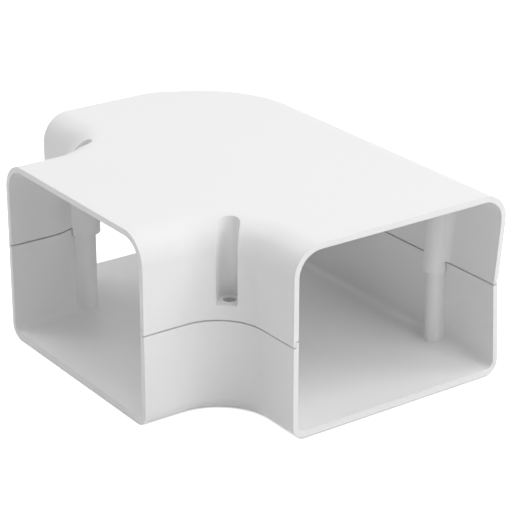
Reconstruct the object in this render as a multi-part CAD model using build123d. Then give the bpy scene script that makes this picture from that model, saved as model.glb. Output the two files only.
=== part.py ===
from build123d import *
import os
from math import cos, radians, sin, tan

# Tee fitting for 80 x 60 mm cable trunking, in millimetres.
# Two hollow mouldings, a tray and a cover, meet half way up in a stepped seam.
# Z is up, away from the wall that the fitting is fixed to.
# The origin lies on the tray's back face, where the centre lines of run and branch cross.
# The run goes along X, and the branch mouth faces -Y.

# Overall sizes
fitting_height = 64.1        # outside, from wall face to roof
right_arm = 75.9             # from the branch's centre line to the full-width run mouth
left_arm = 74.5              # from the branch's centre line to the narrower run mouth
branch_arm = 74.2            # from the run's centre line to the branch mouth
branch_half_width = 42.5     # from the branch's centre line to its walls' outer faces
front_half_width = 41.6      # from the run's centre line to its front walls' outer faces
back_half_width = 42.3       # from the run's centre line to the long wall's outer face, at its foot

# Wall thicknesses
side_wall = 1.9
tray_floor = 2.4
cover_roof = 2.0

# Stepped seam: half a wall's thickness of the tray stands up as a lip beside the cover's lip.
# The tray's lip is the inner one in the branch and front walls, and the outer one in the long wall.
seam_height = 31.4           # tray's step in the branch and front walls
back_seam_rise = 0.7         # the long wall's step stands this much higher
lip_rise = 1.9               # from the seam up to the top of the tray's lips
seam_gap = 0.5               # open joint, up and down
lip_gap = 0.1                # open joint between the lips, sideways

# Plan of the outer walls
inside_corner_radius = 17.0  # where the branch meets the run
sweep_radius = 43.0          # the long wall's bend toward the narrower run mouth
sweep_angle = 62.0           # how far that bend turns before the mouth cuts it

# The long wall leans: each half is drawn in toward the seam
tray_toe_in = 1.7
cover_lean_out = 3.0

# Rounded edges
front_roof_radius = 10.0
back_roof_radius = 9.0       # along the long wall
foot_edge_radius = 4.6
floor_corner_radius = 2.4

# Front screws: a channel in the cover's outside, over a post in the tray
screw_setback = 4.6          # from the corner's outer face to the screw's axis
channel_radius = 3.4
channel_wall = 1.9           # between a channel and the inside of the cover
ledge_rise = 5.6             # from the seam up to the channel's floor, where the screw's head sits
screw_hole_diameter = 4.0
front_boss_reach = 2.6       # how far the cover's front bosses go down past the tray's lips
front_post_radius = 3.6
pilot_hole_diameter = 2.9
pilot_hole_floor = 4.0       # solid left under a post's hole, above the tray's floor

# Back bosses: plain columns inside the cover's long wall, over plain posts in the tray
back_boss_to_mouth = 27.9    # from the full-width run mouth to the nearer boss
back_boss_setback = 2.7      # from the long wall's outer face to the boss's axis
back_boss_radius = 4.4
back_boss_flare = 2.5        # radius of the hollow where a boss meets the cover's wall
back_boss_reach = 4.7        # how far these bosses go down past the tray's lips
back_post_radius = 3.2
boss_clearance = 0.3         # between any boss and the tray's walls

corner_x = branch_half_width + inside_corner_radius
corner_y = front_half_width + inside_corner_radius
sweep_start = sweep_radius * sin(radians(sweep_angle)) - left_arm
sweep_centre_y = back_half_width - sweep_radius
waist_height = seam_height + lip_rise / 2
waist_y = back_half_width - tray_toe_in
middle_of_wall = side_wall / 2
lip_top = seam_height + lip_rise
cover_foot = seam_height + seam_gap
lips_end = lip_top + seam_gap
ledge_height = seam_height + ledge_rise
front_boss_foot = lip_top - front_boss_reach
back_boss_foot = lip_top - back_boss_reach
back_step = seam_height + back_seam_rise
overrun = 1.0                # how far a cutting solid passes the face that it cuts
past_mouths = 12.0           # how far the walls are drawn past the mouths before they are trimmed


def tray_wall_y(height):
    """Where the long wall's outer face stands at a height in the tray."""
    return back_half_width - tray_toe_in * height / waist_height


def cover_wall_y(height):
    """Where the long wall's outer face stands at a height in the cover."""
    return waist_y + cover_lean_out * (height - waist_height) / (fitting_height - waist_height)


def bend_past_mouth(long_wall):
    """Draws the long wall's bend, and the straight that carries it past the narrower run mouth."""
    sweep = long_wall - sweep_centre_y
    turned = radians(sweep_angle)
    bend_end = Vector(sweep_start - sweep * sin(turned), sweep_centre_y + sweep * cos(turned))
    across = bend_end.X + left_arm + past_mouths
    straight_end = bend_end - Vector(across, across * tan(turned))
    CenterArc((sweep_start, sweep_centre_y), sweep, 90, sweep_angle)
    Line(bend_end, straight_end)
    return straight_end


def plan_outline(height, wall_y, inset):
    """The fitting's plan at one height, inset from the outer walls and carried past the mouths."""
    branch_wall = branch_half_width - inset
    front_wall = inset - front_half_width
    long_wall = wall_y(height) - inset
    corner = inside_corner_radius + inset
    left = -left_arm - past_mouths
    right = right_arm + past_mouths
    front = -branch_arm - past_mouths
    with BuildSketch(Plane.XY.offset(height)) as plan:
        with BuildLine():
            Polyline((-branch_wall, -corner_y), (-branch_wall, front))
            Polyline((-branch_wall, front), (branch_wall, front), (branch_wall, -corner_y))
            CenterArc((corner_x, -corner_y), corner, 180, -90)
            Polyline((corner_x, front_wall), (right, front_wall), (right, long_wall))
            Line((right, long_wall), (sweep_start, long_wall))
            Polyline(bend_past_mouth(long_wall), (left, front_wall), (-corner_x, front_wall))
            CenterArc((-corner_x, -corner_y), corner, 90, -90)
        make_face()
    return plan.sketch


def walled_block(low, high, wall_y, inset=0.0):
    """The solid of the fitting's plan between two heights, its long wall leaning."""
    plans = [plan_outline(height, wall_y, inset) for height in (low, high)]
    return loft(plans, ruled=True)


def wall_edges(block, height):
    """The edges of a block's top or bottom face that run along its walls, and not across its ends."""

    def follows_wall(edge):
        middle = edge @ 0.5
        from_left = abs(middle.X + left_arm + past_mouths)
        from_right = abs(middle.X - right_arm - past_mouths)
        from_front = abs(middle.Y + branch_arm + past_mouths)
        return min(from_left, from_right, from_front) > 0.01

    level = block.edges().filter_by_position(Axis.Z, height - 0.01, height + 0.01)
    return level.filter_by(follows_wall)


def cut_at_mouths(block):
    """Trims a block level with the three mouths."""
    length = left_arm + right_arm
    depth = branch_arm + 2 * back_half_width
    middle = Pos((right_arm - left_arm) / 2, depth / 2 - branch_arm)
    return block & middle * Box(length, depth, 3 * fitting_height)


def tray_block():
    """The tray's outer form up to its lips, filled in, with its long foot edges rounded."""
    block = walled_block(0, lip_top, tray_wall_y)
    return cut_at_mouths(fillet(wall_edges(block, 0), foot_edge_radius))


def tray_space(clearance=0.0):
    """The room inside the tray, which runs out through the three mouths and up past the lips."""
    space = walled_block(tray_floor, lips_end, tray_wall_y, side_wall + clearance)
    return fillet(wall_edges(space, tray_floor), floor_corner_radius)


def round_roof(block, height, inset):
    """Rounds the long edges of a block's top face, with the long wall's own radius at the back."""

    def at_front(edge):
        return (edge @ 0.5).Y < inset - front_half_width + overrun

    block = fillet(wall_edges(block, height).filter_by(at_front), front_roof_radius - inset)
    back = wall_edges(block, height).filter_by(at_front, reverse=True)
    return fillet(back, back_roof_radius - inset)


def cover_block():
    """The cover's outer form, filled in, with its long roof edges rounded."""
    block = walled_block(cover_foot, fitting_height, cover_wall_y)
    return cut_at_mouths(round_roof(block, fitting_height, 0))


def cover_space():
    """The room inside the cover, which runs out through the three mouths."""
    ceiling = fitting_height - cover_roof
    space = walled_block(cover_foot, ceiling, cover_wall_y, side_wall)
    return round_roof(space, ceiling, side_wall)


def region(side, low, high):
    """Everything before the run's centre line (side -1) or behind it (side 1), between two heights."""
    span = 2 * (left_arm + right_arm)
    return Pos(0, side * span / 2, (low + high) / 2) * Box(span, span, high - low)


def front_screws():
    """A place on each front screw's axis, whose X points out through the corner."""
    inward = (inside_corner_radius + screw_setback) * cos(radians(45))
    across = corner_x - inward
    forward = inward - corner_y
    return [Pos(across, forward) * Rot(0, 0, -45), Pos(-across, forward) * Rot(0, 0, -135)]


def back_bosses():
    """A place on each back boss's axis, at the wall face, whose X points out through the wall."""
    axis_y = waist_y - back_boss_setback
    along = (right_arm - back_boss_to_mouth, sweep_start)
    return [Pos(x, axis_y) * Rot(0, 0, 90) for x in along]


def half_round(radius, low, high):
    """A column about an axis, with straight flanks that run out through the wall."""
    outward = 2 * inside_corner_radius
    with BuildSketch(Plane.XY.offset(low)) as section:
        Circle(radius)
        with Locations((outward / 2, 0)):
            Rectangle(outward, 2 * radius)
    return extrude(section.sketch, high - low)


def leaning_column(flare=0.0):
    """A back boss's long column, leaning with the cover's long wall, which it passes through."""
    outward = 2 * back_boss_setback
    slope = Vector(cover_lean_out, 0, fitting_height - waist_height)
    across_slope = Plane(origin=(0, 0, waist_height), x_dir=(slope.Z, 0, -slope.X), z_dir=slope)
    flare_x = back_boss_setback - side_wall - flare
    flare_y = ((back_boss_radius + flare) ** 2 - flare_x ** 2) ** 0.5
    flares = ((flare_x, flare_y), (flare_x, -flare_y))
    with BuildSketch(across_slope) as section:
        Circle(back_boss_radius)
        Polygon((0, 0), flares[0], (outward, flare_y), (outward, -flare_y), flares[1], align=None)
        if flare:
            with Locations(*flares):
                Circle(flare, mode=Mode.SUBTRACT)
    return extrude(section.sketch, fitting_height, both=True)


def drill(diameter, low, high):
    """A drill's path up a screw's axis."""
    length = high - low
    return Pos(0, 0, low + length / 2) * Cylinder(diameter / 2, length)


def tray():
    """Floor and lower walls, with a drilled post at each front screw and a plain one at each back boss."""
    outer = tray_block()
    body = outer - tray_space()
    middle = walled_block(seam_height, lips_end, tray_wall_y, middle_of_wall)
    body -= region(-1, seam_height, lips_end) - middle
    body -= region(1, back_step, lips_end) & middle
    for place in back_bosses():
        body += place * half_round(back_post_radius, tray_floor, back_boss_foot) & outer
    for place in front_screws():
        body += place * half_round(front_post_radius, tray_floor, front_boss_foot) & outer
    for place in front_screws():
        body -= place * drill(pilot_hole_diameter, tray_floor + pilot_hole_floor, front_boss_foot + overrun)
    return body


def cover():
    """Roof and upper walls, with a channel, a ledge and a boss at each front screw, and the back bosses."""
    outer = cover_block()
    body = outer - cover_space()
    for place in front_screws():
        body += place * half_round(channel_radius + channel_wall, cover_foot, fitting_height) & outer
    for place in back_bosses():
        body += place * leaning_column(back_boss_flare) & outer
    below = cover_foot - overrun
    front_lip = walled_block(below, lips_end, tray_wall_y, middle_of_wall - lip_gap)
    body -= region(-1, below, lips_end) & front_lip
    back_lip = walled_block(below, lips_end, tray_wall_y, middle_of_wall + lip_gap)
    body -= region(1, below, lips_end) - back_lip
    body -= region(1, below, back_step + seam_gap)
    room_below = tray_space(boss_clearance)
    for place in front_screws():
        body += place * half_round(channel_radius + channel_wall, front_boss_foot, lips_end) & room_below
    for place in back_bosses():
        body += place * leaning_column() & room_below & region(1, back_boss_foot, back_step + seam_gap)
    for place in front_screws():
        body -= place * half_round(channel_radius, ledge_height, fitting_height + overrun)
        body -= place * drill(screw_hole_diameter, front_boss_foot - overrun, ledge_height + overrun)
    return body


os.makedirs("parts", exist_ok=True)
for name, piece in (("tray", tray()), ("cover", cover())):
    export_step(piece, f"parts/{name}.step")
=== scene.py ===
import math

import bpy
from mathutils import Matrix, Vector

# Looks for a white two-piece trunking tee, lying on its flat back. Sizes are in metres and
# angles in degrees, apart from where a comment says otherwise. Colours are linear.

# Camera, as fitted to the photograph
CAMERA_PLACE = (0.51861, -0.36881, 0.29543)
CAMERA_YAW = 54.722          # turned left from +Y
CAMERA_PITCH = 22.958        # below level
FOCAL_PIXELS = 2010.8
FRAME_PIXELS = 512
SENSOR_WIDTH = 36.0          # millimetres
NEAR_LIMIT = 0.01            # nothing nearer to the camera is drawn

# White plastic
PLASTIC_TONE = 0.91
TONE_SPREAD = 0.008          # faint flow marks: how far the tone strays either way
FLOW_SCALE = 38.0
FLOW_DETAIL = 3.0
SHEEN_RANGE = (0.36, 0.46)   # roughness, which strays with the flow marks
SPECULAR_LEVEL = 0.4
PLASTIC_IOR = 1.5
GRAIN_SCALE = 2600.0
GRAIN_DETAIL = 2.0
GRAIN_STRENGTH = 0.12
GRAIN_DEPTH = 0.00003
EDGE_ROUNDING = 0.0003       # radius that the sharp edges of the mouldings seem to have
EDGE_SAMPLES = 4

# Floor
FLOOR_TONE = 0.82
FLOOR_REACH = 3.0            # from the middle to each side
FLOOR_GAP = 0.0004           # the back face rests a little clear of the floor
FLOOR_GLOW = 0.85            # only for the camera and reflections
CONTACT_SHADE_REACH = 0.0008       # how near the object dims the floor's glow, as painted contact shade
CONTACT_SHADE_SAMPLES = 8

# The surround's strength straight overhead; it fades to nothing at the horizon
WORLD_STRENGTH = 0.66

# Every lamp stands this far from the point that it is aimed at
LAMP_DISTANCE = 1.3
LAMP_TARGET = Vector((0, 0, 0.03))


def node(tree, kind, **settings):
    """Adds a shader node and sets its attributes."""
    made = tree.nodes.new(kind)
    for name, value in settings.items():
        setattr(made, name, value)
    return made


def new_material(name):
    """An empty material to build in, with its node tree."""
    material = bpy.data.materials.new(name)
    material.use_nodes = True
    return material, material.node_tree


def noise(tree, place, scale, detail):
    """Noise that stays with the object, as a shade from 0 to 1."""
    made = node(tree, "ShaderNodeTexNoise")
    made.inputs["Scale"].default_value = scale
    made.inputs["Detail"].default_value = detail
    tree.links.new(place.outputs["Object"], made.inputs["Vector"])
    return made.outputs["Fac"]


def between(tree, shade, low, high):
    """Spreads a shade from 0 to 1 over a range."""
    made = node(tree, "ShaderNodeMapRange")
    made.inputs["To Min"].default_value = low
    made.inputs["To Max"].default_value = high
    tree.links.new(shade, made.inputs["Value"])
    return made.outputs["Result"]


def plastic(name):
    """White moulded plastic, with a fine grain, and flow marks that show in its tone and sheen."""
    material, tree = new_material(name)
    shader = tree.nodes["Principled BSDF"]
    shader.inputs["Specular IOR Level"].default_value = SPECULAR_LEVEL
    shader.inputs["IOR"].default_value = PLASTIC_IOR
    place = node(tree, "ShaderNodeTexCoord")

    flow = noise(tree, place, FLOW_SCALE, FLOW_DETAIL)
    tone = between(tree, flow, PLASTIC_TONE - TONE_SPREAD, PLASTIC_TONE + TONE_SPREAD)
    colour = node(tree, "ShaderNodeCombineColor")
    for channel in ("Red", "Green", "Blue"):
        tree.links.new(tone, colour.inputs[channel])
    tree.links.new(colour.outputs["Color"], shader.inputs["Base Color"])
    tree.links.new(between(tree, flow, *SHEEN_RANGE), shader.inputs["Roughness"])

    bump = node(tree, "ShaderNodeBump")
    bump.inputs["Strength"].default_value = GRAIN_STRENGTH
    bump.inputs["Distance"].default_value = GRAIN_DEPTH
    tree.links.new(noise(tree, place, GRAIN_SCALE, GRAIN_DETAIL), bump.inputs["Height"])
    rounded = node(tree, "ShaderNodeBevel", samples=EDGE_SAMPLES)
    rounded.inputs["Radius"].default_value = EDGE_ROUNDING
    tree.links.new(rounded.outputs["Normal"], bump.inputs["Normal"])
    tree.links.new(bump.outputs["Normal"], shader.inputs["Normal"])
    return material


def background_rays(tree):
    """1 for the rays that show the background, straight or in a gloss, and 0 for the others."""
    path = node(tree, "ShaderNodeLightPath")
    direct = node(tree, "ShaderNodeMath", operation="MAXIMUM")
    tree.links.new(path.outputs["Is Camera Ray"], direct.inputs[0])
    tree.links.new(path.outputs["Is Glossy Ray"], direct.inputs[1])
    through = node(tree, "ShaderNodeMath", operation="MAXIMUM")
    tree.links.new(direct.outputs[0], through.inputs[0])
    tree.links.new(path.outputs["Is Transmission Ray"], through.inputs[1])
    return through.outputs[0]


def floor_material():
    """Pale floor that the camera sees as white, apart from the object's shadow and a contact line
    of painted shade.
    """
    material, tree = new_material("pale_floor")
    tree.nodes.clear()
    lit = node(tree, "ShaderNodeBsdfDiffuse")
    lit.inputs["Color"].default_value = (FLOOR_TONE, FLOOR_TONE, FLOOR_TONE, 1)
    # Painted shade: the glow is dimmed where the object is close, which draws a dark contact line
    # under its edges.
    contact_shade = node(tree, "ShaderNodeAmbientOcclusion", samples=CONTACT_SHADE_SAMPLES)
    contact_shade.inputs["Distance"].default_value = CONTACT_SHADE_REACH
    strength = node(tree, "ShaderNodeMath", operation="MULTIPLY")
    tree.links.new(contact_shade.outputs["AO"], strength.inputs[0])
    strength.inputs[1].default_value = FLOOR_GLOW
    glow = node(tree, "ShaderNodeEmission")
    tree.links.new(strength.outputs[0], glow.inputs["Strength"])
    both = node(tree, "ShaderNodeAddShader")
    tree.links.new(lit.outputs[0], both.inputs[0])
    tree.links.new(glow.outputs[0], both.inputs[1])
    mix = node(tree, "ShaderNodeMixShader")
    tree.links.new(background_rays(tree), mix.inputs["Fac"])
    tree.links.new(lit.outputs[0], mix.inputs[1])
    tree.links.new(both.outputs[0], mix.inputs[2])
    out = node(tree, "ShaderNodeOutputMaterial")
    tree.links.new(mix.outputs[0], out.inputs["Surface"])
    return material


def world_light():
    """A plain surround, brighter overhead, which the camera and reflections see as white."""
    world = bpy.data.worlds.new("studio")
    bpy.context.scene.world = world
    world.use_nodes = True
    tree = world.node_tree
    surround = tree.nodes["Background"]
    surround.inputs["Color"].default_value = (1, 1, 1, 1)
    direction = node(tree, "ShaderNodeTexCoord")
    axes = node(tree, "ShaderNodeSeparateXYZ")
    tree.links.new(direction.outputs["Generated"], axes.inputs[0])
    strength = node(tree, "ShaderNodeMapRange")
    tree.links.new(between(tree, axes.outputs["Z"], 0, WORLD_STRENGTH), strength.inputs["To Min"])
    tree.links.new(background_rays(tree), strength.inputs["Value"])
    tree.links.new(strength.outputs["Result"], surround.inputs["Strength"])


def add_object(name, data):
    """Puts a new object into the scene."""
    made = bpy.data.objects.new(name, data)
    bpy.context.scene.collection.objects.link(made)
    return made


def area_light(name, bearing, elevation, size, power, in_gloss=True):
    """A soft square lamp. Its bearing is turned from +X toward +Y."""
    lamp = bpy.data.lights.new(name, "AREA")
    lamp.size = size
    lamp.energy = power
    made = add_object(name, lamp)
    turned, raised = math.radians(bearing), math.radians(elevation)
    level = math.cos(raised)
    outward = Vector((level * math.cos(turned), level * math.sin(turned), math.sin(raised)))
    made.location = LAMP_TARGET + LAMP_DISTANCE * outward
    made.rotation_euler = (-outward).to_track_quat("-Z", "Y").to_euler()
    made.visible_glossy = in_gloss


def add_lamps():
    """Four soft lamps. The low right one's gloss would whiten the roof in a view from the left."""
    area_light("key", bearing=60, elevation=42, size=0.5, power=3.6)
    area_light("right", bearing=15, elevation=25, size=0.7, power=4.2, in_gloss=False)
    area_light("left", bearing=210, elevation=50, size=0.7, power=3.75)
    area_light("overhead", bearing=0, elevation=60, size=0.7, power=2.2)


def add_camera():
    """The camera at the photograph's place and lens."""
    lens = bpy.data.cameras.new("camera")
    lens.sensor_width = SENSOR_WIDTH
    lens.lens = FOCAL_PIXELS / FRAME_PIXELS * SENSOR_WIDTH
    lens.clip_start = NEAR_LIMIT
    made = add_object("camera", lens)
    made.location = CAMERA_PLACE
    made.rotation_euler = (math.radians(90 - CAMERA_PITCH), 0, math.radians(CAMERA_YAW))
    bpy.context.scene.camera = made


def add_floor():
    """A level square floor under the fitting."""
    mesh = bpy.data.meshes.new("floor")
    signs = ((-1, -1), (1, -1), (1, 1), (-1, 1))
    corners = [(x * FLOOR_REACH, y * FLOOR_REACH, 0) for x, y in signs]
    mesh.from_pydata(corners, [], [(0, 1, 2, 3)])
    mesh.materials.append(floor_material())
    made = add_object("floor", mesh)
    made.location = (0, 0, -FLOOR_GAP)


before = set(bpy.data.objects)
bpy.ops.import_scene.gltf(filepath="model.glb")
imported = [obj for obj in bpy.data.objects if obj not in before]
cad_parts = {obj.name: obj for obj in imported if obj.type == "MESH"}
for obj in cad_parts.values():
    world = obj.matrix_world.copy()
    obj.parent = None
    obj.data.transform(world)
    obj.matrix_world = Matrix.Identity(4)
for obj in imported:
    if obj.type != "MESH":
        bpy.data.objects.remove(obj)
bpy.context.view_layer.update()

for name in ("tray", "cover"):
    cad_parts[name].data.materials.clear()
    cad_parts[name].data.materials.append(plastic(name + "_plastic"))

world_light()
add_lamps()
add_floor()
add_camera()
bpy.context.scene.view_settings.view_transform = "Standard"
